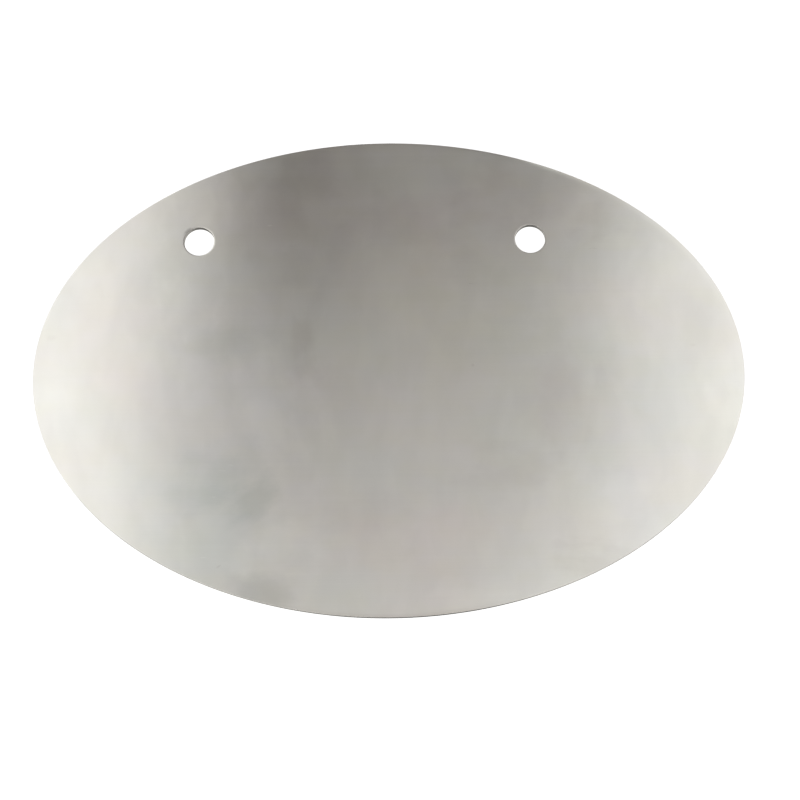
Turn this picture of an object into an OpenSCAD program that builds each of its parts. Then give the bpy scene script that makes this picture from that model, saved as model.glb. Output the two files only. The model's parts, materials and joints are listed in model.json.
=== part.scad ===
// Oval number plate: a flat sheet-metal blank with two mounting holes in its upper half.
// All sizes are in millimetres. The plate lies on its back, with X along the oval's long axis,
// Y up the plate towards the holes and Z out of the front. The origin is the middle of the back face.

/* [Plate] */
// Width of the oval, along its long axis
plate_width = 254; // [210:1:360]
// Height of the oval, along its short axis
plate_height = 178; // [150:1:260]
// Thickness of the sheet
sheet_thickness = 2; // [1:0.1:4]
// Size of the bevel that takes the sharp corner off the outer edge, at the top and bottom of the oval
edge_break = 0.1; // [0.05:0.05:0.4]

/* [Mounting holes] */
// Diameter of each hole
hole_diameter = 11; // [5:0.5:14]
// Distance between the centres of the two holes
hole_spacing = 121; // [80:0.5:140]
// Distance from the top of the oval down to the centres of the holes
hole_drop = 38.75; // [32:0.25:60]
// How far the pair of holes sits to the left of the plate's middle
pair_offset = 8.5; // [0:0.5:15]
// Size of the bevel round both mouths of each hole
hole_break = 0.1; // [0.05:0.05:0.3]

/* [Hidden] */
// Half height of the oval, and how far a round blank of that radius is drawn out along X
half_height = plate_height / 2;
stretch = plate_width / plate_height;
// Centres of the holes
hole_y = half_height - hole_drop;
left_hole_x = -pair_offset - hole_spacing / 2;
right_hole_x = -pair_offset + hole_spacing / 2;
hole_radius = hole_diameter / 2;
// How far a cutting shape runs past the face it cuts
overcut = 1;
$fn = 180;

// Half section of a round blank. Both bevels run on past the faces, where the slab trims them.
module bevelled_section() {
    reach = edge_break + overcut;
    polygon([
        [0, -overcut],
        [half_height - reach, -overcut],
        [half_height, edge_break],
        [half_height, sheet_thickness - edge_break],
        [half_height - reach, sheet_thickness + overcut],
        [0, sheet_thickness + overcut]
    ]);
}

// The sheet that the oval is cut from, which gives the flat back and front
module sheet() {
    translate([-plate_width / 2 - overcut, -half_height - overcut, 0])
        cube([plate_width + 2 * overcut, plate_height + 2 * overcut, sheet_thickness]);
}

// One quarter of the oval: a quarter of a round blank, turned into place and drawn out along X
module oval_quarter(turn) {
    scale([stretch, 1, 1])
        rotate([0, 0, turn])
            rotate_extrude(angle = 90)
                bevelled_section();
}

// The oval: a true ellipse, in quarters that meet on its two axes, trimmed to the sheet's faces
module oval_blank() {
    intersection() {
        sheet();
        union() {
            for (turn = [0 : 90 : 270])
                oval_quarter(turn);
        }
    }
}

// A bevel at one mouth of a hole: a cone that opens upwards through the face at z = 0
module mouth_bevel() {
    translate([0, 0, -hole_break])
        cylinder(h = hole_break + overcut, r1 = hole_radius, r2 = hole_radius + hole_break + overcut);
}

// One mounting hole: drilled straight through, with both mouths bevelled
module mounting_hole() {
    translate([0, 0, -overcut])
        cylinder(h = sheet_thickness + 2 * overcut, r = hole_radius);
    translate([0, 0, sheet_thickness])
        mouth_bevel();
    mirror([0, 0, 1])
        mouth_bevel();
}

// The whole plate
module plate() {
    color([0.78, 0.77, 0.74])
        difference() {
            oval_blank();
            translate([left_hole_x, hole_y, 0])
                mounting_hole();
            translate([right_hole_x, hole_y, 0])
                mounting_hole();
        }
}

plate();
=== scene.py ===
"""Scene of a blank oval number plate: one flat sheet of brushed metal with two mounting holes.

Lengths are in metres unless a name ends in _mm or _um. The plate lies on its back, with X along the
oval's long axis, Y up the plate towards the holes and Z out of the front face.
"""
import json
import logging
import math
from abc import ABC, abstractmethod
from dataclasses import dataclass
from enum import Enum, IntEnum
from typing import ClassVar, Sequence, Union

import bmesh
import bpy
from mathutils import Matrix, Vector

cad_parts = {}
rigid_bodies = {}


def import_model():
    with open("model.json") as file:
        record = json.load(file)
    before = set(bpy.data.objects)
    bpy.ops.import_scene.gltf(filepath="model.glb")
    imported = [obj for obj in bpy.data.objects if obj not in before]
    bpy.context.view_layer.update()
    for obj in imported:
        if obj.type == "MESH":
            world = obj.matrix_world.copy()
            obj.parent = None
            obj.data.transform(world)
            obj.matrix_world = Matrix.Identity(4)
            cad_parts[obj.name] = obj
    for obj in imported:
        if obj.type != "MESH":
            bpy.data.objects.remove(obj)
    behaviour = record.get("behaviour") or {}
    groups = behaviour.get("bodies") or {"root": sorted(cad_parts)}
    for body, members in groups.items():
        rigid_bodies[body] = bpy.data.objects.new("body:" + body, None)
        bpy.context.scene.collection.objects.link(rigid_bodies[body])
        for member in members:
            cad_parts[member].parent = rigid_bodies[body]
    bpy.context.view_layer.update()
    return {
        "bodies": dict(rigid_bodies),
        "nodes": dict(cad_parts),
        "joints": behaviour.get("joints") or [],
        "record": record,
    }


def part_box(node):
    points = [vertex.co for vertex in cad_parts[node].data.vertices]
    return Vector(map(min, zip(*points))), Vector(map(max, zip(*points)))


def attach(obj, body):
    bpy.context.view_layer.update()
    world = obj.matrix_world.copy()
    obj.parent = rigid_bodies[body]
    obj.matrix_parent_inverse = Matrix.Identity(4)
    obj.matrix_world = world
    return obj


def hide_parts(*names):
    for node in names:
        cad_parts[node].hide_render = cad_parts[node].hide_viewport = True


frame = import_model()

LOG = logging.getLogger("number_plate")

MM = 0.001
PER_MM = 1000.0
MICRON = 1e-6
NODE_NAME = "plate"
BODY_NAME = "root"
GRAIN_MAP = "grain"
EDGE_VALUE = "edge"

Pair = tuple[float, float]
Triple = tuple[float, float, float]
Colour = tuple[float, float, float, float]
Node = bpy.types.Node
Wire = bpy.types.NodeSocket
Wires = bpy.types.NodeOutputs
Piece = bpy.types.Object
Feed = Union[Wire, float, Triple, Colour]
Weighted = list[tuple[Feed, float]]


class Region(IntEnum):
    """The parts of the plate's skin with a finish of their own, in the order of the material slots."""

    FACE = 0
    RIM = 1
    BORE = 2


class Sum(Enum):
    """The sums that a Math node is asked for."""

    ADD = "ADD"
    TAKE = "SUBTRACT"
    TIMES = "MULTIPLY"
    OVER = "DIVIDE"
    MOST = "MAXIMUM"


class Socket(Enum):
    """The kinds of socket that an effect has."""

    NUMBER = "NodeSocketFloat"
    VECTOR = "NodeSocketVector"


class Tone(Enum):
    """How a mark's metal compares with the metal round it, in red, green and blue."""

    LIGHT = (1.085, 1.085, 1.085)
    WARM = (1.01, 0.98, 0.985)
    GREEN = (0.97, 1.0, 1.003)
    YELLOW = (1.0, 1.0, 0.962)
    BLUE = (1.0, 1.0, 1.026)
    DARK = (0.875, 0.857, 0.85)
    COOL = (0.834, 0.861, 0.856)
    GREY = (0.845, 0.852, 0.85)
    # Painted shade, for the walls' dark side and the dark patch by the left hole
    DEEP = (0.2, 0.2, 0.2)


class Blend(Enum):
    """The ways in which one colour is laid over another."""

    OVER = "MIX"
    TINT = "MULTIPLY"


def opaque(shade: Triple, level: float = 1.0) -> Colour:
    """Give a colour's four numbers, all three parts taken to a level."""
    return (shade[0] * level, shade[1] * level, shade[2] * level, 1.0)


class Bench:
    """Places nodes in one node tree and joins them up."""

    # Where a Mix node has its two colours and its mixed colour, among its sockets for other kinds of value
    MIX_COLOURS: ClassVar[tuple[int, int]] = (6, 7)
    MIX_RESULT: ClassVar[int] = 2

    def __init__(self, tree: bpy.types.NodeTree) -> None:
        """Take the tree to work on."""
        self.tree = tree

    def add(self, kind: str, **choices: object) -> Node:
        """Add a node and set its own choices.

        Args:
            kind: Blender's name for the node's type.
            choices: the node's properties, by name.

        Returns:
            The new node.
        """
        node = self.tree.nodes.new(kind)
        for name, value in choices.items():
            setattr(node, name, value)
        return node

    def feed(self, socket: Wire, value: Feed) -> None:
        """Join a socket to another one, or set it to a plain value.

        Args:
            socket: the input to feed.
            value: an output socket, a number, a vector or a colour.
        """
        if isinstance(value, Wire):
            self.tree.links.new(value, socket)
        else:
            socket.default_value = value

    def sum(self, how: Sum, first: Feed, second: Feed) -> Wire:
        """Work out one sum of two numbers.

        Args:
            how: the sum.
            first: its first number.
            second: its second number.

        Returns:
            The result's socket.
        """
        node = self.add("ShaderNodeMath", operation=how.value)
        self.feed(node.inputs[0], first)
        self.feed(node.inputs[1], second)
        return node.outputs[0]

    def total(self, parts: Sequence[tuple[Feed, float]], start: float = 0.0) -> Wire:
        """Add up several values, each with its own weight.

        Args:
            parts: the values with their weights.
            start: what the total starts from.

        Returns:
            The total's socket.
        """
        result: Feed = start
        for value, weight in parts:
            node = self.add("ShaderNodeMath", operation="MULTIPLY_ADD")
            for socket, feed in zip(node.inputs, (value, weight, result)):
                self.feed(socket, feed)
            result = node.outputs[0]
        return result

    def triple(self, x: Feed, y: Feed, z: Feed) -> Wire:
        """Put three numbers together as a vector.

        Args:
            x: the first part.
            y: the second part.
            z: the third part.

        Returns:
            The vector's socket.
        """
        node = self.add("ShaderNodeCombineXYZ")
        for socket, feed in zip(node.inputs, (x, y, z)):
            self.feed(socket, feed)
        return node.outputs[0]

    def parts(self, vector: Feed) -> Sequence[Wire]:
        """Take a vector apart into its three numbers.

        Args:
            vector: the vector.

        Returns:
            The sockets of its three parts.
        """
        node = self.add("ShaderNodeSeparateXYZ")
        self.feed(node.inputs[0], vector)
        return node.outputs

    def vector_sum(self, how: Sum, first: Feed, second: Feed) -> Wire:
        """Work out one sum of two vectors, part by part.

        Args:
            how: the sum.
            first: its first vector.
            second: its second vector.

        Returns:
            The result's socket.
        """
        node = self.add("ShaderNodeVectorMath", operation=how.value)
        self.feed(node.inputs[0], first)
        self.feed(node.inputs[1], second)
        return node.outputs["Vector"]

    def length(self, vector: Feed) -> Wire:
        """Measure a vector.

        Args:
            vector: the vector.

        Returns:
            The socket of its length.
        """
        node = self.add("ShaderNodeVectorMath", operation="LENGTH")
        self.feed(node.inputs[0], vector)
        return node.outputs["Value"]

    def noise(self, place: Feed, detail: float, roughness: float, bend: float = 0.0) -> Wire:
        """Read soft noise whose features are about one unit across.

        Args:
            place: where to read it.
            detail: how many finer layers it has.
            roughness: how strong those layers are.
            bend: how far the pattern is pulled out of shape.

        Returns:
            The socket of a number from 0 to 1, mostly near a half.
        """
        node = self.add("ShaderNodeTexNoise")
        settings = {
            "Vector": place,
            "Scale": 1.0,
            "Detail": detail,
            "Roughness": roughness,
            "Distortion": bend,
        }
        for name, value in settings.items():
            self.feed(node.inputs[name], value)
        return node.outputs[0]

    def fade(self, value: Feed, start: Feed, end: Feed, low: float = 0.0, high: float = 1.0) -> Wire:
        """Go smoothly from one level to another as a value passes from start to end.

        Args:
            value: the value that is followed.
            start: where the fade starts.
            end: where it ends.
            low: the level before it.
            high: the level after it.

        Returns:
            The level's socket.
        """
        node = self.add("ShaderNodeMapRange", interpolation_type="SMOOTHSTEP")
        for socket, feed in zip(node.inputs, (value, start, end, low, high)):
            self.feed(socket, feed)
        return node.outputs[0]

    def blend(self, share: Feed, first: Feed, second: Feed, how: Blend = Blend.OVER) -> Wire:
        """Blend two colours.

        Args:
            share: how much of the second colour there is, from 0 to 1.
            first: the colour at 0.
            second: the colour that is laid over it.
            how: whether the second colour covers the first or tints it.

        Returns:
            The blended colour's socket.
        """
        node = self.add("ShaderNodeMix", data_type="RGBA", blend_type=how.value)
        self.feed(node.inputs[0], share)
        for index, feed in zip(self.MIX_COLOURS, (first, second)):
            self.feed(node.inputs[index], feed)
        return node.outputs[self.MIX_RESULT]


class Effect(ABC):
    """A surface effect that is built once as a shader node group and placed in each finish."""

    name: ClassVar[str]
    takes: ClassVar[dict[str, Socket]]
    gives: ClassVar[dict[str, Socket]]

    def group(self) -> bpy.types.NodeTree:
        """Fetch the node group, and build it the first time.

        Returns:
            The group.
        """
        found = bpy.data.node_groups.get(self.name)
        if found:
            return found
        tree = bpy.data.node_groups.new(self.name, "ShaderNodeTree")
        for side, sockets in (("INPUT", self.takes), ("OUTPUT", self.gives)):
            for name, kind in sockets.items():
                tree.interface.new_socket(name=name, in_out=side, socket_type=kind.value)
        bench = Bench(tree)
        given = bench.add("NodeGroupInput").outputs
        result = bench.add("NodeGroupOutput").inputs
        for name, value in self.wire(bench, given).items():
            bench.feed(result[name], value)
        return tree

    def place(self, bench: Bench, values: dict[str, Feed]) -> Wires:
        """Place the effect in a finish.

        Args:
            bench: the finish's node tree.
            values: what each of the effect's inputs is fed.

        Returns:
            The effect's outputs.
        """
        node = bench.add("ShaderNodeGroup", node_tree=self.group())
        for name, value in values.items():
            bench.feed(node.inputs[name], value)
        return node.outputs

    @abstractmethod
    def wire(self, bench: Bench, given: Wires) -> dict[str, Feed]:
        """Lay out the group's nodes.

        Args:
            bench: the group's node tree.
            given: the sockets of the group's inputs.

        Returns:
            What each of the group's outputs is fed.
        """


class BrushGrain(Effect):
    """Hairlines and broader bands drawn out along the first axis, as a brushing belt leaves them."""

    name = "brush_grain"
    takes = {"Place": Socket.VECTOR, "Stroke": Socket.NUMBER, "Pitch": Socket.NUMBER}
    gives = {"Streak": Socket.NUMBER, "Hairline": Socket.NUMBER}
    layer_scale: ClassVar[float] = 3.7
    thin_scale: ClassVar[Triple] = (2.3, 2.9, 1.0)
    band_scale: ClassVar[Triple] = (0.5, 0.13, 1.9)
    contrast: ClassVar[Pair] = (0.2, 0.8)
    streak_shares: ClassVar[Triple] = (0.45, 0.35, 0.2)
    hairline_shares: ClassVar[Pair] = (0.6, 0.4)

    def wire(self, bench: Bench, given: Wires) -> dict[str, Feed]:
        """Draw noise out along the stroke, at three widths.

        Args:
            bench: the group's node tree.
            given: the sockets of the group's inputs.

        Returns:
            The streak's tone and the hairlines' height, both from 0 to 1.
        """
        along = bench.sum(Sum.OVER, 1.0, given["Stroke"])
        across = bench.sum(Sum.OVER, 1.0, given["Pitch"])
        scale = bench.triple(along, across, self.layer_scale)
        place = bench.vector_sum(Sum.TIMES, given["Place"], scale)
        thin_place = bench.vector_sum(Sum.TIMES, place, self.thin_scale)
        band_place = bench.vector_sum(Sum.TIMES, place, self.band_scale)
        widths = [self.lines(bench, where) for where in (place, thin_place, band_place)]
        streak = bench.total(list(zip(widths, self.streak_shares)))
        hairline = bench.total(list(zip(widths, self.hairline_shares)))
        return {"Streak": streak, "Hairline": hairline}

    def lines(self, bench: Bench, place: Feed) -> Wire:
        """Read the lines of one width, from 0 to 1."""
        return bench.fade(bench.noise(place, detail=1.0, roughness=0.5), *self.contrast)


class SoftCloud(Effect):
    """Large soft patches, as handling and a sheet that isn't quite flat leave them."""

    name = "soft_cloud"
    takes = {"Place": Socket.VECTOR, "Size": Socket.NUMBER}
    gives = {"Cloud": Socket.NUMBER, "Drift": Socket.NUMBER}
    contrast: ClassVar[Pair] = (0.3, 0.7)
    drift_scale: ClassVar[Triple] = (0.7, 1.1, 1.3)
    drift_shift: ClassVar[Triple] = (7.3, 2.9, 5.1)

    def wire(self, bench: Bench, given: Wires) -> dict[str, Feed]:
        """Read two slow noises, one for the tone and one for the tint.

        Args:
            bench: the group's node tree.
            given: the sockets of the group's inputs.

        Returns:
            The patches' tone and their drift of tint, both from 0 to 1.
        """
        size = bench.triple(given["Size"], given["Size"], given["Size"])
        place = bench.vector_sum(Sum.OVER, given["Place"], size)
        cloud = bench.fade(bench.noise(place, detail=3.0, roughness=0.5, bend=0.4), *self.contrast)
        scaled = bench.vector_sum(Sum.TIMES, place, self.drift_scale)
        moved = bench.vector_sum(Sum.ADD, scaled, self.drift_shift)
        drift = bench.fade(bench.noise(moved, detail=1.0, roughness=0.5), *self.contrast)
        return {"Cloud": cloud, "Drift": drift}


class FaceMark(Effect):
    """One oval mark on a face, crisp for a nick and soft for a smudge and for patches of painted reflection
    and painted shade.
    """

    name = "face_mark"
    takes = {
        "Place": Socket.VECTOR,
        "Centre": Socket.VECTOR,
        "Half Size": Socket.VECTOR,
        "Turn": Socket.NUMBER,
        "Softness": Socket.NUMBER,
        "Raggedness": Socket.NUMBER,
    }
    gives = {"Mask": Socket.NUMBER}
    noise_middle: ClassVar[float] = 0.5

    def wire(self, bench: Bench, given: Wires) -> dict[str, Feed]:
        """Measure how far out a place is from the mark's middle, with a ragged edge.

        Args:
            bench: the group's node tree.
            given: the sockets of the group's inputs.

        Returns:
            The mark's mask, 1 in its middle.
        """
        offset = bench.vector_sum(Sum.TAKE, given["Place"], given["Centre"])
        turned = bench.add("ShaderNodeVectorRotate", rotation_type="Z_AXIS")
        bench.feed(turned.inputs["Vector"], offset)
        bench.feed(turned.inputs["Angle"], given["Turn"])
        scaled = bench.vector_sum(Sum.OVER, turned.outputs[0], given["Half Size"])
        own_place = bench.vector_sum(Sum.ADD, scaled, given["Centre"])
        noise = bench.noise(own_place, detail=4.0, roughness=0.55)
        ragged = bench.sum(Sum.TAKE, noise, self.noise_middle)
        reach = bench.sum(Sum.TIMES, ragged, given["Raggedness"])
        far = bench.sum(Sum.ADD, bench.length(scaled), reach)
        inner = bench.sum(Sum.TAKE, 1.0, given["Softness"])
        return {"Mask": bench.fade(far, 1.0, inner)}


class EdgeWear(Effect):
    """Bright rubbed metal along an edge, broken up so that it comes and goes."""

    name = "edge_wear"
    takes = {"Edge": Socket.NUMBER, "Place": Socket.VECTOR, "Patch": Socket.NUMBER}
    gives = {"Wear": Socket.NUMBER}
    break_up: ClassVar[float] = 0.9
    contrast: ClassVar[Pair] = (0.85, 1.15)

    def wire(self, bench: Bench, given: Wires) -> dict[str, Feed]:
        """Break up the edge value with noise.

        Args:
            bench: the group's node tree.
            given: the sockets of the group's inputs.

        Returns:
            The wear's mask, 1 where the edge is rubbed bright.
        """
        size = bench.triple(given["Patch"], given["Patch"], given["Patch"])
        place = bench.vector_sum(Sum.OVER, given["Place"], size)
        noise = bench.noise(place, detail=3.0, roughness=0.6)
        broken = bench.total([(given["Edge"], 1.0), (noise, self.break_up)], -self.break_up / 2)
        return {"Wear": bench.fade(broken, *self.contrast)}


@dataclass(frozen=True)
class Mark:
    """One nick, tick, smudge, stain, patch of painted shade or patch of painted reflection, placed in
    millimetres on the region that it marks.

    A mark lies along the first axis, and a negative turn makes it climb to the right. Its scuff is added to
    the metal's roughness. One that is along_edge fades out away from the rim.
    """

    centre_mm: Pair
    half_size_mm: Pair
    tone: Tone
    strength: float
    turn_deg: float = 0.0
    softness: float = 0.6
    raggedness: float = 0.7
    depth_um: float = 0.0
    scuff: float = 0.0
    along_edge: bool = False


@dataclass(frozen=True)
class TonePatch(Mark):
    """A broad soft patch of tone with a cloudy outline; a dull or bright one is partly a smudge and partly
    painted reflection.
    """

    softness: float = 1.0
    raggedness: float = 2.6


@dataclass(frozen=True)
class Finish(ABC):
    """Bare metal with a grain: what every region of the plate shares.

    The levels take the base colour from the darkest streak to the lightest. Each rough value is what a
    streak, a cloud or wear adds to the roughness, and each um value is how high the surface rises.
    """

    grain_turn: ClassVar[float] = 0.25
    streak_levels: ClassVar[Pair]
    streak_rough: ClassVar[float]
    cloud_rough: ClassVar[float]
    wear_rough: ClassVar[float]
    hairline_um: ClassVar[float]
    cloud_um: ClassVar[float]

    name: str
    base: Triple
    roughness: float
    anisotropy: float
    stroke_mm: float
    pitch_mm: float
    marks: tuple[Mark, ...]
    marks_level_mm: float

    def make(self) -> bpy.types.Material:
        """Make the material.

        Returns:
            The material, with its nodes in place.
        """
        material = bpy.data.materials.new(self.name)
        material.use_nodes = True
        material.node_tree.nodes.clear()
        bench = Bench(material.node_tree)
        shader = bench.add("ShaderNodeBsdfPrincipled")
        surface = bench.add("ShaderNodeOutputMaterial")
        bench.feed(surface.inputs["Surface"], shader.outputs["BSDF"])
        shader.inputs["Metallic"].default_value = 1.0
        shader.inputs["Anisotropic"].default_value = self.anisotropy
        shader.inputs["Anisotropic Rotation"].default_value = self.grain_turn
        tangent = bench.add("ShaderNodeTangent", direction_type="UV_MAP", uv_map=GRAIN_MAP)
        bench.feed(shader.inputs["Tangent"], tangent.outputs[0])
        self.dress(bench, shader)
        return material

    @abstractmethod
    def dress(self, bench: Bench, shader: Node) -> None:
        """Lay the colour, roughness and relief on the shader.

        Args:
            bench: the material's node tree.
            shader: its Principled BSDF.
        """

    def edge(self, bench: Bench) -> Wire:
        """Read how near the edge a place is, from 0 to 1."""
        return bench.add("ShaderNodeAttribute", attribute_name=EDGE_VALUE).outputs["Fac"]

    def grain(self, bench: Bench, place: Feed) -> Wires:
        """Place this finish's own grain."""
        values = {"Place": place, "Stroke": self.stroke_mm, "Pitch": self.pitch_mm}
        return BrushGrain().place(bench, values)

    def in_mm(self, bench: Bench, own: Feed) -> Wire:
        """Give a place in millimetres."""
        return bench.vector_sum(Sum.TIMES, own, (PER_MM, PER_MM, PER_MM))

    def streaked(self, bench: Bench, grain: Wires) -> Wire:
        """Give the metal's colour, which changes a little from streak to streak."""
        dark, light = (opaque(self.base, level) for level in self.streak_levels)
        return bench.blend(grain["Streak"], dark, light)

    def lay_marks(self, bench: Bench, place: Feed, colour: Feed) -> tuple[Feed, Weighted, Weighted]:
        """Lay this finish's marks over a colour.

        Args:
            bench: the material's node tree.
            place: the place on the region, in millimetres.
            colour: the metal's colour so far.

        Returns:
            The colour with the marks, the masks of those that have a depth, and the masks of those that
            roughen the metal.
        """
        dents: Weighted = []
        scuffs: Weighted = []
        for mark in self.marks:
            values = {
                "Place": place,
                "Centre": (*mark.centre_mm, self.marks_level_mm),
                "Half Size": (*mark.half_size_mm, 1.0),
                "Turn": math.radians(mark.turn_deg),
                "Softness": mark.softness,
                "Raggedness": mark.raggedness,
            }
            mask = FaceMark().place(bench, values)["Mask"]
            if mark.along_edge:
                edge = self.edge(bench)
                mask = bench.sum(Sum.TIMES, mask, bench.sum(Sum.TIMES, edge, edge))
            share = bench.sum(Sum.TIMES, mask, mark.strength)
            colour = bench.blend(share, colour, opaque(mark.tone.value), Blend.TINT)
            if mark.depth_um:
                dents.append((mask, mark.depth_um))
            if mark.scuff:
                scuffs.append((mask, mark.scuff))
        return colour, dents, scuffs

    def roughen(
        self, bench: Bench, shader: Node, streak: Feed, cloud: Feed, wear: Feed, scuffs: Weighted
    ) -> None:
        """Set the roughness, which stays about the finish's own on average.

        Args:
            bench: the material's node tree.
            shader: its Principled BSDF.
            streak: the grain's tone.
            cloud: the patches' tone.
            wear: the mask of the rubbed edge.
            scuffs: the masks of the marks that roughen the metal.
        """
        changes = [(streak, self.streak_rough), (cloud, self.cloud_rough), (wear, self.wear_rough)]
        least = self.roughness - (self.streak_rough + self.cloud_rough) / 2
        bench.feed(shader.inputs["Roughness"], bench.total([*changes, *scuffs], least))

    def relief(self, bench: Bench, shader: Node, height_um: Feed) -> None:
        """Raise the surface by a height in thousandths of a millimetre.

        Args:
            bench: the material's node tree.
            shader: its Principled BSDF.
            height_um: the height's socket.
        """
        bump = bench.add("ShaderNodeBump")
        bump.inputs["Strength"].default_value = 1.0
        bump.inputs["Distance"].default_value = MICRON
        bench.feed(bump.inputs["Height"], height_um)
        bench.feed(shader.inputs["Normal"], bump.outputs["Normal"])


@dataclass(frozen=True)
class BrushedFace(Finish):
    """The two flat faces, brushed along the plate's length, with clouds, rubbed edges and marks."""

    cloud_mm: float
    dimple_mm: float
    mottle_mm: float
    wear_patch_mm: float = 9.0
    wear_share: float = 0.5
    wear_level: float = 1.05
    mottle_draw: Triple = (1.0, 0.45, 1.0)
    mottle_dark: Triple = (0.98, 0.98, 0.98)
    mottle_light: Triple = (1.016, 1.016, 1.016)
    pink: Triple = (1.006, 0.998, 1.0)
    green: Triple = (0.988, 1.0, 1.0)
    blue: Triple = (1.0, 1.0, 1.01)
    yellow: Triple = (1.0, 1.0, 0.983)
    streak_levels: ClassVar[Pair] = (0.987, 1.01)
    streak_rough: ClassVar[float] = 0.03
    cloud_rough: ClassVar[float] = 0.03
    wear_rough: ClassVar[float] = -0.04
    hairline_um: ClassVar[float] = 0.15
    cloud_um: ClassVar[float] = 18.0
    dimple_um: ClassVar[float] = 8.0

    def dress(self, bench: Bench, shader: Node) -> None:
        """Lay the grain, the clouds, the rubbed edge and the marks on the faces.

        Args:
            bench: the material's node tree.
            shader: its Principled BSDF.
        """
        place = self.in_mm(bench, bench.add("ShaderNodeTexCoord").outputs["Object"])
        grain = self.grain(bench, place)
        cloud = SoftCloud().place(bench, {"Place": place, "Size": self.cloud_mm})
        dimple = SoftCloud().place(bench, {"Place": place, "Size": self.dimple_mm})
        drawn = bench.vector_sum(Sum.TIMES, place, self.mottle_draw)
        mottle = SoftCloud().place(bench, {"Place": drawn, "Size": self.mottle_mm})
        worn = {"Edge": self.edge(bench), "Place": place, "Patch": self.wear_patch_mm}
        wear = EdgeWear().place(bench, worn)["Wear"]
        colour = self.streaked(bench, grain)
        tints = (
            (cloud["Drift"], self.pink, self.green),
            (dimple["Drift"], self.blue, self.yellow),
            (mottle["Cloud"], self.mottle_dark, self.mottle_light),
        )
        for share, first, second in tints:
            tint = bench.blend(share, opaque(first), opaque(second))
            colour = bench.blend(1.0, colour, tint, Blend.TINT)
        colour, dents, scuffs = self.lay_marks(bench, place, colour)
        rubbed = bench.sum(Sum.TIMES, wear, self.wear_share)
        colour = bench.blend(rubbed, colour, opaque(self.base, self.wear_level))
        bench.feed(shader.inputs["Base Color"], colour)
        self.roughen(bench, shader, grain["Streak"], cloud["Cloud"], wear, scuffs)
        heights = [
            (grain["Hairline"], self.hairline_um),
            (cloud["Cloud"], self.cloud_um),
            (dimple["Cloud"], self.dimple_um),
        ]
        self.relief(bench, shader, bench.total([*heights, *dents]))


@dataclass(frozen=True)
class CutEdge(Finish):
    """A cut wall: the plate's rim or the inside of a hole, with its tool lines and rubbed corners."""

    rubbed: Triple
    patch_mm: float
    edge_tint: Triple = (0.4, 0.4, 0.4)
    patch_share: float = 0.35
    patch_level: float = 0.8
    streak_levels: ClassVar[Pair] = (0.78, 1.2)
    streak_rough: ClassVar[float] = 0.12
    cloud_rough: ClassVar[float] = 0.08
    wear_rough: ClassVar[float] = -0.1
    hairline_um: ClassVar[float] = 3.0
    cloud_um: ClassVar[float] = 6.0

    def dress(self, bench: Bench, shader: Node) -> None:
        """Lay the tool lines and the rubbed corners on the wall.

        Args:
            bench: the material's node tree.
            shader: its Principled BSDF.
        """
        shader.inputs["Specular Tint"].default_value = opaque(self.edge_tint)
        place = self.in_mm(bench, bench.add("ShaderNodeUVMap", uv_map=GRAIN_MAP).outputs[0])
        grain = self.grain(bench, place)
        cloud = SoftCloud().place(bench, {"Place": place, "Size": self.patch_mm})
        worn = {"Edge": self.edge(bench), "Place": place, "Patch": self.patch_mm}
        wear = EdgeWear().place(bench, worn)["Wear"]
        patch = bench.sum(Sum.TIMES, cloud["Cloud"], self.patch_share)
        colour = bench.blend(patch, self.streaked(bench, grain), opaque(self.base, self.patch_level))
        # On the walls the marks are painted shade, on the side that faces the camera
        colour, dents, scuffs = self.lay_marks(bench, place, colour)
        colour = bench.blend(wear, colour, opaque(self.rubbed))
        bench.feed(shader.inputs["Base Color"], colour)
        self.roughen(bench, shader, grain["Streak"], cloud["Cloud"], wear, scuffs)
        heights = [(grain["Hairline"], self.hairline_um), (cloud["Cloud"], self.cloud_um)]
        self.relief(bench, shader, bench.total([*heights, *dents]))


@dataclass(frozen=True)
class Station:
    """One loop of a ring wall's section."""

    inset: float
    height: float
    edge: float
    run: float


@dataclass(frozen=True)
class Section:
    """The section of a cut wall, the same at the back and at the front.

    A strip of the face leads over a rounded corner to the wall.
    """

    back: float
    thickness: float
    corner: float
    reach: float = 1.8 * MM
    steps: int = 4

    def stations(self) -> list[Station]:
        """List the section's loops, from the back face to the front.

        Returns:
            The loops, with how far each lies along the section.
        """
        shares = [step / self.steps for step in range(self.steps)]
        quarter = [math.pi / 2 * step / self.steps for step in range(self.steps + 1)]
        rise = [(self.corner + self.reach * (1 - share), 0.0, share) for share in shares]
        rise += [(self.corner * (1 - math.sin(a)), self.corner * (1 - math.cos(a)), 1.0) for a in quarter]
        points = rise + [(0.0, self.thickness / 2, 0.0)]
        points += [(inset, self.thickness - height, edge) for inset, height, edge in reversed(rise)]
        run, found, last = 0.0, [], points[0]
        for inset, height, edge in points:
            run += math.hypot(inset - last[0], height - last[1])
            last = (inset, height, edge)
            found.append(Station(inset, self.back + height, edge, run))
        return found


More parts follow.
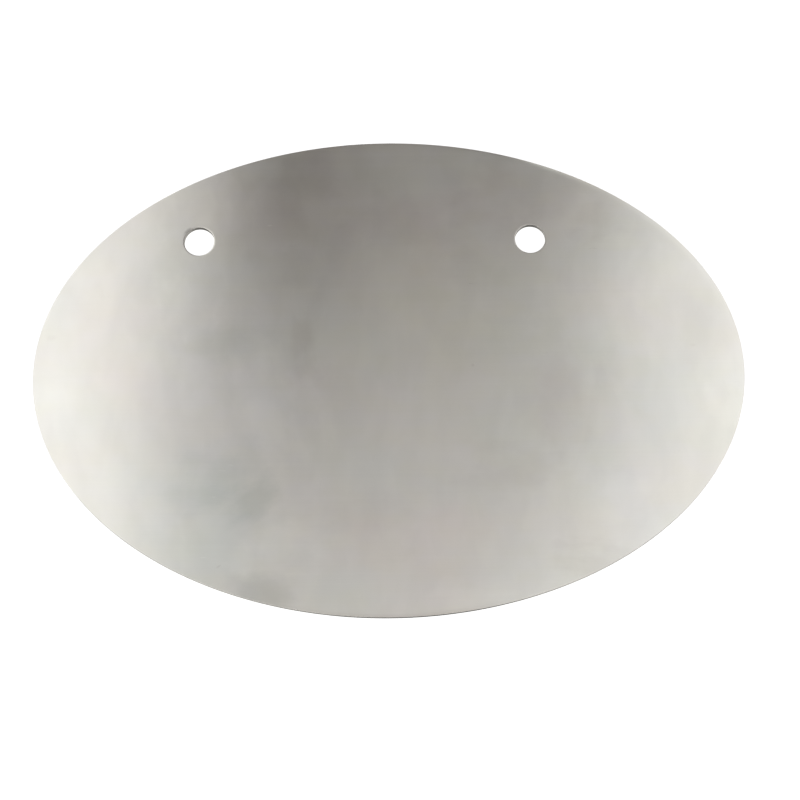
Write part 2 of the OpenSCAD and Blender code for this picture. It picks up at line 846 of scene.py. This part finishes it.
@dataclass(frozen=True)
class RingWall(ABC):
    """A closed wall that runs round a middle, made of one loop for each station of its section."""

    name: str
    middle: Pair
    section: Section
    segments: int

    @abstractmethod
    def radii(self, inset: float) -> Pair:
        """Give the loop's two half sizes at an inset from the wall."""

    @abstractmethod
    def inset(self, place: Vector) -> float:
        """Measure how far a place lies from the wall, on the side of the sheet."""

    def build(self) -> Piece:
        """Extrude a circle from station to station and scale it at each.

        Returns:
            The ring's object, with its place in its mesh.
        """
        stations = self.section.stations()
        size = self.radii(stations[0].inset)
        bpy.ops.object.select_all(action="DESELECT")
        place = (*self.middle, stations[0].height)
        bpy.ops.mesh.primitive_circle_add(
            vertices=self.segments, radius=1.0, fill_type="NOTHING", location=place
        )
        ring = bpy.context.object
        ring.name = self.name
        bpy.ops.object.mode_set(mode="EDIT")
        bpy.ops.mesh.select_mode(type="EDGE")
        bpy.ops.mesh.select_all(action="SELECT")
        bpy.ops.transform.resize(value=(*size, 1.0))
        for last, station in zip(stations, stations[1:]):
            lift = (0.0, 0.0, station.height - last.height)
            bpy.ops.mesh.extrude_region_move(TRANSFORM_OT_translate={"value": lift})
            new_size = self.radii(station.inset)
            bpy.ops.transform.resize(value=(new_size[0] / size[0], new_size[1] / size[1], 1.0))
            size = new_size
        bpy.ops.object.mode_set(mode="OBJECT")
        bpy.ops.object.transform_apply(location=True, rotation=False, scale=False)
        return ring

    def station(self, place: Vector) -> Station:
        """Find the station whose loop passes a place.

        Args:
            place: a vertex of the ring.

        Returns:
            The nearest station.
        """
        inset = self.inset(place)
        return min(self.section.stations(), key=lambda s: math.hypot(s.inset - inset, s.height - place.z))

    def turn(self, place: Vector) -> float:
        """Give the angle at which a place lies round the ring."""
        size = self.radii(0.0)
        return math.atan2((place.y - self.middle[1]) / size[1], (place.x - self.middle[0]) / size[0])

    def unrolled(self, place: Vector, near: Vector) -> Pair:
        """Give a place's spot on the wall laid out flat, next to a near one.

        Args:
            place: a vertex of the ring.
            near: the middle of the face that it belongs to.

        Returns:
            The length round the ring, and the length up its section.
        """
        start = self.turn(near)
        gap = (self.turn(place) - start + math.pi) % math.tau - math.pi
        return (start + gap) * sum(self.radii(0.0)) / 2, self.station(place).run


@dataclass(frozen=True)
class OuterWall(RingWall):
    """The oval rim. Its loops are the outline taken down in proportion, as the sheet's corner is cut."""

    half_width: float
    half_height: float

    def radii(self, inset: float) -> Pair:
        """Give the oval's two half sizes at an inset from the rim."""
        share = 1.0 - inset / self.half_height
        return self.half_width * share, self.half_height * share

    def inset(self, place: Vector) -> float:
        """Measure how far a place lies inside the rim."""
        return self.half_height * (1.0 - math.hypot(place.x / self.half_width, place.y / self.half_height))


@dataclass(frozen=True)
class BoreWall(RingWall):
    """The wall of one mounting hole."""

    radius: float

    def radii(self, inset: float) -> Pair:
        """Give the hole's radius at an inset from its wall, twice."""
        return self.radius + inset, self.radius + inset

    def inset(self, place: Vector) -> float:
        """Measure how far a place lies outside the hole."""
        return math.hypot(place.x - self.middle[0], place.y - self.middle[1]) - self.radius


@dataclass
class OvalPlate:
    """The plate: a flat oval sheet with a rounded rim and two mounting holes.

    The roll is how far the face drops at the rim. It is greatest at roll_turn_deg round the oval, and is
    gone where the cosine of the turn from there is roll_start. A facet whose normal's upright part is above
    bright, at the rim, or above flat, at a hole, has the face's finish. Heights within level of each other
    count as one.
    """

    half_width: float
    half_height: float
    back: float
    thickness: float
    holes: tuple[tuple[Pair, float], ...]
    rim_corner: float = 0.1 * MM
    hole_corner: float = 0.1 * MM
    roll: float = 0.07 * MM
    roll_turn_deg: float = 45.0
    roll_start: float = 0.6
    rim_segments: int = 400
    hole_segments: int = 112
    bright: ClassVar[float] = 0.3
    flat: ClassVar[float] = 0.97
    level: ClassVar[float] = 1e-6

    @classmethod
    def from_frame(cls, loaded: dict) -> "OvalPlate":
        """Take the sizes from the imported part.


        Returns:
            The plate, not yet built.
        """
        low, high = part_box(NODE_NAME)
        bores = [mount for mount in loaded["record"]["mounts"] if mount["kind"] == "bore"]
        holes = tuple((tuple(bore["pos_m"][:2]), bore["dims"]["r_mm"] * MM) for bore in bores)
        return cls((high.x - low.x) / 2, (high.y - low.y) / 2, low.z, high.z - low.z, holes)

    def rings(self) -> list[RingWall]:
        """List the walls, the rim first.

        Returns:
            The rim and each hole's wall.
        """
        rim = Section(self.back, self.thickness, self.rim_corner)
        mouth = Section(self.back, self.thickness, self.hole_corner)
        walls: list[RingWall] = [
            OuterWall("rim", (0.0, 0.0), rim, self.rim_segments, self.half_width, self.half_height)
        ]
        for number, (middle, radius) in enumerate(self.holes, 1):
            walls.append(BoreWall(f"hole_{number}", middle, mouth, self.hole_segments, radius))
        return walls

    def build(self) -> Piece:
        """Build the walls, join them, close the two faces and smooth the corners.

        Returns:
            The plate's object.
        """
        walls = self.rings()
        made = [wall.build() for wall in walls]
        bpy.ops.object.select_all(action="DESELECT")
        for ring in made:
            ring.select_set(True)
        bpy.context.view_layer.objects.active = made[0]
        bpy.ops.object.join()
        plate = bpy.context.object
        plate.name = plate.data.name = "brushed_plate"
        bpy.ops.object.mode_set(mode="EDIT")
        for height in (self.back, self.back + self.thickness):
            self.close_face(plate, height)
        bpy.ops.mesh.select_all(action="SELECT")
        bpy.ops.mesh.normals_make_consistent(inside=False)
        bpy.ops.object.mode_set(mode="OBJECT")
        bpy.ops.object.shade_smooth()
        self.mark_regions(plate, walls)
        self.roll_edge(plate, walls[0])
        bpy.ops.object.modifier_add(type="WEIGHTED_NORMAL")
        bpy.ops.object.modifier_apply(modifier=plate.modifiers[-1].name)
        return plate

    def close_face(self, plate: Piece, height: float) -> None:
        """Fill the flat between the loops that lie open at one height.

        Args:
            plate: the joined walls, in edit mode.
            height: the face's height.
        """
        bpy.ops.mesh.select_all(action="DESELECT")
        shell = bmesh.from_edit_mesh(plate.data)
        for edge in shell.edges:
            if edge.is_boundary and all(abs(v.co.z - height) < self.level for v in edge.verts):
                edge.select_set(True)
        bmesh.update_edit_mesh(plate.data)
        bpy.ops.mesh.fill(use_beauty=True)

    def mark_regions(self, plate: Piece, walls: Sequence[RingWall]) -> None:
        """Sort the faces into regions, lay the grain map and mark the edges.

        Args:
            plate: the closed plate.
            walls: its walls, the rim first.
        """
        mesh = plate.data
        edge = mesh.attributes.new(EDGE_VALUE, "FLOAT", "POINT")
        owner = [self.wall_at(vertex.co, walls) for vertex in mesh.vertices]
        for vertex, wall in zip(mesh.vertices, owner):
            edge.data[vertex.index].value = wall.station(vertex.co).edge
        grain = mesh.uv_layers.new(name=GRAIN_MAP)
        for face in mesh.polygons:
            wall = owner[face.vertices[0]]
            cut = Region.RIM if wall is walls[0] else Region.BORE
            least = self.bright if cut is Region.RIM else self.flat
            face.material_index = Region.FACE if abs(face.normal.z) > least else cut
            for corner in face.loop_indices:
                place = mesh.vertices[mesh.loops[corner].vertex_index].co
                on_face = face.material_index == Region.FACE
                grain.data[corner].uv = place.xy if on_face else wall.unrolled(place, face.center)

    def roll_edge(self, plate: Piece, rim: RingWall) -> None:
        """Roll both faces off very slightly at the rim, most at the top right, as shears leave a sheet.

        Args:
            plate: the closed plate.
            rim: its outer wall.
        """
        middle = self.back + self.thickness / 2
        section = rim.section
        for vertex in plate.data.vertices:
            near = 1.0 - (rim.inset(vertex.co) - section.corner) / section.reach
            side = math.cos(rim.turn(vertex.co) - math.radians(self.roll_turn_deg))
            share = max(side - self.roll_start, 0.0) / (1.0 - self.roll_start)
            drop = self.roll * share * min(max(near, 0.0), 1.0) ** 2
            if abs(vertex.co.z - middle) > self.level:
                vertex.co.z -= math.copysign(drop, vertex.co.z - middle)

    def wall_at(self, place: Vector, walls: Sequence[RingWall]) -> RingWall:
        """Find the wall that a vertex belongs to.

        Args:
            place: the vertex.
            walls: the plate's walls.

        Returns:
            The wall whose inset there is smallest.
        """
        return min(walls, key=lambda wall: wall.inset(place))

    def dress(self, plate: Piece, finishes: dict[Region, Finish]) -> None:
        """Give each region its finish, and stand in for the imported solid.

        Args:
            plate: the plate's object.
            finishes: the finish of each region.
        """
        for region in Region:
            plate.data.materials.append(finishes[region].make())
        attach(plate, BODY_NAME)
        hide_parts(NODE_NAME)


@dataclass(frozen=True)
class SoftSpot:
    """A soft dark spot on the light roof, as the camera and its stand leave in a shiny surface."""

    centre: Pair
    half_size: Pair
    depth: float


@dataclass(frozen=True)
class LightRoof:
    """A soft white panel close over the plate, with the dark gap that a photographer looks through.

    The gap's edges and the spots are given as slopes, the distance along the roof over its height. Each
    edge is where the gap starts and where it is full. The panel fades to far_level over its fall_off.
    """

    height: float = 0.35
    half_size: float = 1.1
    white: Triple = (1.114, 1.114, 1.114)
    dark: Triple = (0.02, 0.006, 0.0)
    left_edge: Pair = (-0.533, -0.318)
    left_slant: float = 0.07
    right_edge: Pair = (0.438, 0.085)
    right_slant: float = 0.217
    near_edge: Pair = (-1.81, 1.77)
    spots: tuple[SoftSpot, ...] = (
        SoftSpot((-0.175, 0.7), (0.17, 0.59), 1.0),
        SoftSpot((0.357, 0.164), (0.348, 0.15), 0.75),
    )
    fall_off: Pair = (0.8, 1.8)
    far_level: float = 0.28

    def build(self) -> Piece:
        """Make the panel, which lights the plate and shows in its metal but not to the camera.

        Returns:
            The panel's object.
        """
        bpy.ops.object.select_all(action="DESELECT")
        bpy.ops.mesh.primitive_plane_add(size=2 * self.half_size, location=(0.0, 0.0, self.height))
        panel = bpy.context.object
        panel.name = "light_roof"
        bpy.ops.object.transform_apply(location=True, rotation=False, scale=False)
        panel.visible_camera = False
        panel.visible_shadow = False
        panel.data.materials.append(self.glow())
        return panel

    def glow(self) -> bpy.types.Material:
        """Make the panel's light.

        Returns:
            A material that shines white, less so in the gap and towards the panel's outer edge.
        """
        material = bpy.data.materials.new("roof_light")
        material.use_nodes = True
        material.node_tree.nodes.clear()
        bench = Bench(material.node_tree)
        own = bench.add("ShaderNodeTexCoord").outputs["Object"]
        slope = bench.vector_sum(Sum.OVER, own, (self.height, self.height, self.height))
        x, y, _ = bench.parts(slope)
        level = bench.triple(x, y, 0.0)
        left = bench.fade(bench.total([(y, -self.left_slant), (x, 1.0)]), *self.left_edge)
        right = bench.fade(bench.total([(y, -self.right_slant), (x, 1.0)]), *self.right_edge)
        near = bench.fade(y, *self.near_edge)
        gap = bench.sum(Sum.TIMES, bench.sum(Sum.TIMES, left, right), near)
        open_share = bench.sum(Sum.TAKE, 1.0, gap)
        for spot in self.spots:
            offset = bench.vector_sum(Sum.TAKE, level, (*spot.centre, 0.0))
            far = bench.length(bench.vector_sum(Sum.OVER, offset, (*spot.half_size, 1.0)))
            kept = bench.fade(far, 0.0, 1.0, low=1.0 - spot.depth)
            open_share = bench.sum(Sum.TIMES, open_share, kept)
        colour = bench.blend(open_share, opaque(self.dark), opaque(self.white))
        shine = bench.add("ShaderNodeEmission")
        bench.feed(shine.inputs["Color"], colour)
        strength = bench.fade(bench.length(level), *self.fall_off, low=1.0, high=self.far_level)
        bench.feed(shine.inputs["Strength"], strength)
        surface = bench.add("ShaderNodeOutputMaterial")
        bench.feed(surface.inputs["Surface"], shine.outputs[0])
        return material


@dataclass(frozen=True)
class Studio:
    """The plain pale floor, the soft surround and the camera."""

    roof: LightRoof = LightRoof()
    floor_size: float = 16.0
    floor_gap: float = 0.0002
    floor_shade: Triple = (0.52, 0.52, 0.52)
    floor_lift: float = 0.85
    horizon: Triple = (0.9, 0.9, 0.9)
    zenith: Triple = (0.34, 0.34, 0.34)
    glow_top: float = 0.36
    camera_place: Triple = (0.01269, -0.20201, 0.61208)
    camera_turn_deg: Triple = (17.376, 0.841, -0.171)
    lens_mm: float = 81.0
    sensor_mm: float = 36.0

    def build(self) -> None:
        """Set up the whole studio."""
        self.lay_floor()
        self.roof.build()
        self.light_surround()
        self.set_camera()
        bpy.context.scene.view_settings.view_transform = "Standard"

    def lay_floor(self) -> Piece:
        """Lay the floor just under the plate.

        Returns:
            The floor's object.
        """
        bpy.ops.object.select_all(action="DESELECT")
        bpy.ops.mesh.primitive_plane_add(size=self.floor_size, location=(0.0, 0.0, -self.floor_gap))
        floor = bpy.context.object
        floor.name = "floor"
        bpy.ops.object.transform_apply(location=True, rotation=False, scale=False)
        floor.data.materials.append(self.floor_finish())
        return floor

    def floor_finish(self) -> bpy.types.Material:
        """Make a matt pale floor that looks white to the camera and in the metal, and keeps the shadow.

        Returns:
            The floor's material.
        """
        material = bpy.data.materials.new("pale_floor")
        material.use_nodes = True
        bench = Bench(material.node_tree)
        shader = material.node_tree.nodes["Principled BSDF"]
        shader.inputs["Base Color"].default_value = opaque(self.floor_shade)
        shader.inputs["Roughness"].default_value = 1.0
        shader.inputs["Specular IOR Level"].default_value = 0.0
        shader.inputs["Emission Color"].default_value = opaque((1.0, 1.0, 1.0))
        rays = bench.add("ShaderNodeLightPath").outputs
        seen = bench.sum(Sum.MOST, rays["Is Camera Ray"], rays["Is Glossy Ray"])
        seen = bench.sum(Sum.MOST, seen, rays["Is Transmission Ray"])
        bench.feed(shader.inputs["Emission Strength"], bench.sum(Sum.TIMES, seen, self.floor_lift))
        return material

    def light_surround(self) -> None:
        """Light the plate from all round, more from low down than from above."""
        world = bpy.data.worlds.new("soft_surround")
        bpy.context.scene.world = world
        world.use_nodes = True
        bench = Bench(world.node_tree)
        background = world.node_tree.nodes["Background"]
        _, _, up = bench.parts(bench.add("ShaderNodeTexCoord").outputs["Generated"])
        shade = bench.blend(bench.fade(up, 0.0, self.glow_top), opaque(self.horizon), opaque(self.zenith))
        bench.feed(background.inputs["Color"], shade)

    def set_camera(self) -> Piece:
        """Set the camera where the photograph was taken from.

        Returns:
            The camera's object.
        """
        data = bpy.data.cameras.new("camera")
        data.lens, data.sensor_width = self.lens_mm, self.sensor_mm
        camera = bpy.data.objects.new("camera", data)
        camera.location = self.camera_place
        camera.rotation_euler = [math.radians(angle) for angle in self.camera_turn_deg]
        bpy.context.scene.collection.objects.link(camera)
        bpy.context.scene.camera = camera
        return camera


# The bare metal: the brushed faces, the rim, the inside of the holes and the rubbed corners; the rim's and
# the holes' metal is darker than the face's, partly a duller cut finish and partly painted shade
METAL: Triple = (0.876, 0.8575, 0.802)
CUT_METAL: Triple = (0.55, 0.53, 0.49)
BORE_METAL: Triple = (0.48, 0.464, 0.43)
RUBBED_METAL: Triple = (0.64, 0.62, 0.58)

# Painted highlight with some rubbing along the upper right rim, painted shade along the lower rim and by
# the left hole, and the small ticks, where the photo has them
FRONT_MARKS: tuple[Mark, ...] = (
    # A dark patch of painted shade by the left hole
    Mark((-73.3, 54.4), (2.6, 1.1), Tone.DEEP, 0.42, turn_deg=-45.0, softness=1.0),
    # Painted highlight along the upper right rim, partly rubbed metal, which also roughens it
    Mark(
        (66.0, 75.5), (26.0, 12.0), Tone.LIGHT, 0.8,
        turn_deg=22.0, softness=0.8, scuff=0.4, along_edge=True,
    ),
    # Painted shade along the lower edge of the face
    Mark((5.0, -89.0), (55.0, 18.0), Tone.DARK, 1.0, softness=0.8, along_edge=True),
    Mark((-43.1, 56.3), (1.3, 0.4), Tone.LIGHT, 1.0, depth_um=-0.8),
    Mark((30.3, 1.8), (0.8, 0.7), Tone.DARK, 0.5),
    Mark((-64.0, -67.7), (1.6, 0.3), Tone.LIGHT, 0.6, depth_um=-0.6),
    Mark((-58.6, -70.9), (1.2, 0.4), Tone.DARK, 0.6, turn_deg=-35.0, depth_um=-0.6),
    Mark((-55.3, -34.6), (1.2, 0.3), Tone.LIGHT, 0.5, turn_deg=8.0),
    Mark((-58.3, -36.6), (1.4, 0.3), Tone.LIGHT, 0.5),
    Mark((-60.9, -46.2), (0.9, 0.35), Tone.LIGHT, 0.6),
    Mark((109.2, 8.8), (1.4, 0.9), Tone.DARK, 0.3, softness=0.9),
    Mark((-121.0, 13.3), (2.5, 1.6), Tone.DARK, 0.25, softness=0.9),
)

# The dull and bright patches and the faint tints, placed one by one where the tone was off without them;
# the dull and bright ones are partly smudges and partly painted reflection
FRONT_TONE_PATCHES: tuple[Mark, ...] = (
    TonePatch((-59.0, -35.0), (18.0, 14.0), Tone.COOL, 0.38),
    TonePatch((-48.0, -47.0), (14.0, 9.0), Tone.COOL, 0.75, turn_deg=-36.0, softness=0.8, raggedness=1.4),
    TonePatch((-64.0, -47.0), (17.0, 8.0), Tone.COOL, 0.5, raggedness=1.6),
    TonePatch((-44.0, -80.5), (17.0, 9.5), Tone.GREY, 1.0, turn_deg=14.0, softness=0.8, raggedness=1.0),
    TonePatch((-56.0, 11.0), (22.0, 12.0), Tone.COOL, 0.6, raggedness=1.4),
    TonePatch((-30.0, 10.0), (9.0, 18.0), Tone.DARK, 0.5),
    TonePatch((-28.0, 74.0), (18.0, 16.0), Tone.DARK, 0.45),
    TonePatch((-39.0, 63.0), (13.0, 21.0), Tone.DARK, 0.3, softness=0.6, raggedness=1.2),
    TonePatch((8.0, 53.0), (32.0, 20.0), Tone.DARK, 0.5),
    TonePatch((48.0, 66.0), (26.0, 18.0), Tone.DARK, 0.45),
    TonePatch((76.0, 57.0), (14.0, 10.0), Tone.DARK, 0.45),
    TonePatch((66.0, -8.0), (19.0, 28.0), Tone.DARK, 0.55, raggedness=2.0),
    TonePatch((43.0, -37.0), (22.0, 13.0), Tone.DARK, 0.4),
    TonePatch((-10.0, -56.0), (30.0, 14.0), Tone.DARK, 0.3),
    TonePatch((74.0, -70.0), (20.0, 11.0), Tone.DARK, 0.6),
    TonePatch((113.0, 20.0), (17.0, 30.0), Tone.DARK, 0.55, raggedness=1.2),
    TonePatch((-62.0, 65.0), (17.0, 29.0), Tone.LIGHT, 1.0, softness=0.8, raggedness=1.0),
    TonePatch((-6.0, 86.0), (58.0, 15.0), Tone.LIGHT, 0.9, softness=0.9, raggedness=0.8),
    TonePatch((-74.0, 28.0), (16.0, 18.0), Tone.LIGHT, 0.65),
    TonePatch((-31.0, 40.0), (12.0, 14.0), Tone.LIGHT, 0.5),
    TonePatch((-119.0, 2.0), (15.0, 46.0), Tone.LIGHT, 0.6, raggedness=1.6),
    TonePatch((-41.0, -14.0), (19.0, 34.0), Tone.LIGHT, 1.0, turn_deg=-20.0),
    TonePatch((-38.0, -66.0), (20.0, 13.0), Tone.LIGHT, 0.7),
    TonePatch((-95.0, -52.0), (42.0, 20.0), Tone.LIGHT, 0.45, turn_deg=35.0, softness=0.8, raggedness=1.2),
    TonePatch((34.0, -81.0), (22.0, 8.0), Tone.LIGHT, 0.4),
    TonePatch((44.0, 24.0), (26.0, 14.0), Tone.LIGHT, 0.4),
    TonePatch((79.0, 22.0), (20.0, 34.0), Tone.LIGHT, 0.6),
    TonePatch((80.0, -47.0), (17.0, 12.0), Tone.LIGHT, 0.4),
    TonePatch((121.0, -14.0), (9.0, 14.0), Tone.LIGHT, 0.5),
    TonePatch((20.0, -58.0), (46.0, 36.0), Tone.WARM, 1.0),
    TonePatch((22.0, 56.0), (26.0, 28.0), Tone.WARM, 0.6),
    TonePatch((-104.0, 18.0), (36.0, 48.0), Tone.WARM, 0.8),
    TonePatch((-64.0, -52.0), (40.0, 44.0), Tone.GREEN, 1.0, raggedness=1.8),
    TonePatch((90.0, -10.0), (34.0, 28.0), Tone.GREEN, 0.9),
    TonePatch((16.0, 26.0), (52.0, 42.0), Tone.YELLOW, 0.9, raggedness=1.4),
    TonePatch((-52.0, -12.0), (44.0, 72.0), Tone.BLUE, 1.0, raggedness=1.2),
    TonePatch((88.0, -38.0), (20.0, 40.0), Tone.BLUE, 1.0, raggedness=1.2),
)

# Painted shade: the dark length of the lower rim, and the dark side of each hole, by their place round the
# wall
RIM_PAINTED_SHADE: tuple[Mark, ...] = (Mark((-163.0, 2.9), (65.0, 20.0), Tone.DEEP, 1.0, softness=1.0),)
BORE_PAINTED_SHADE: tuple[Mark, ...] = (Mark((8.4, 2.9), (6.8, 8.0), Tone.DEEP, 0.82, softness=0.9),)


def finishes(plate: OvalPlate) -> dict[Region, Finish]:
    """Choose the finish of each region.

    Args:
        plate: the plate, for the height of its front face.

    Returns:
        The finishes by region.
    """
    front_mm = (plate.back + plate.thickness) * PER_MM
    return {
        Region.FACE: BrushedFace(
            name="brushed_face",
            base=METAL,
            roughness=0.30,
            anisotropy=0.76,
            stroke_mm=90.0,
            pitch_mm=0.3,
            marks=FRONT_MARKS + FRONT_TONE_PATCHES,
            marks_level_mm=front_mm,
            cloud_mm=26.0,
            dimple_mm=9.0,
            mottle_mm=10.0,
        ),
        Region.RIM: CutEdge(
            name="filed_rim",
            base=CUT_METAL,
            roughness=0.42,
            anisotropy=0.5,
            stroke_mm=9.0,
            pitch_mm=0.16,
            marks=RIM_PAINTED_SHADE,
            marks_level_mm=0.0,
            rubbed=RUBBED_METAL,
            patch_mm=14.0,
        ),
        Region.BORE: CutEdge(
            name="drilled_bore",
            base=BORE_METAL,
            roughness=0.45,
            anisotropy=0.5,
            stroke_mm=14.0,
            pitch_mm=0.14,
            marks=BORE_PAINTED_SHADE,
            marks_level_mm=0.0,
            rubbed=RUBBED_METAL,
            patch_mm=2.5,
        ),
    }


def main() -> None:
    """Build the plate and the studio round it, and report each piece."""
    logging.basicConfig(level=logging.INFO, format="%(name)s: %(message)s")
    plate = OvalPlate.from_frame(frame)
    piece = plate.build()
    plate.dress(piece, finishes(plate))
    faces, slots = len(piece.data.polygons), len(piece.data.materials)
    LOG.info("%s has %d faces and %d finishes", piece.name, faces, slots)
    Studio().build()
    LOG.info("the floor, the light and the camera are set")


if __name__ == "__main__":
    main()
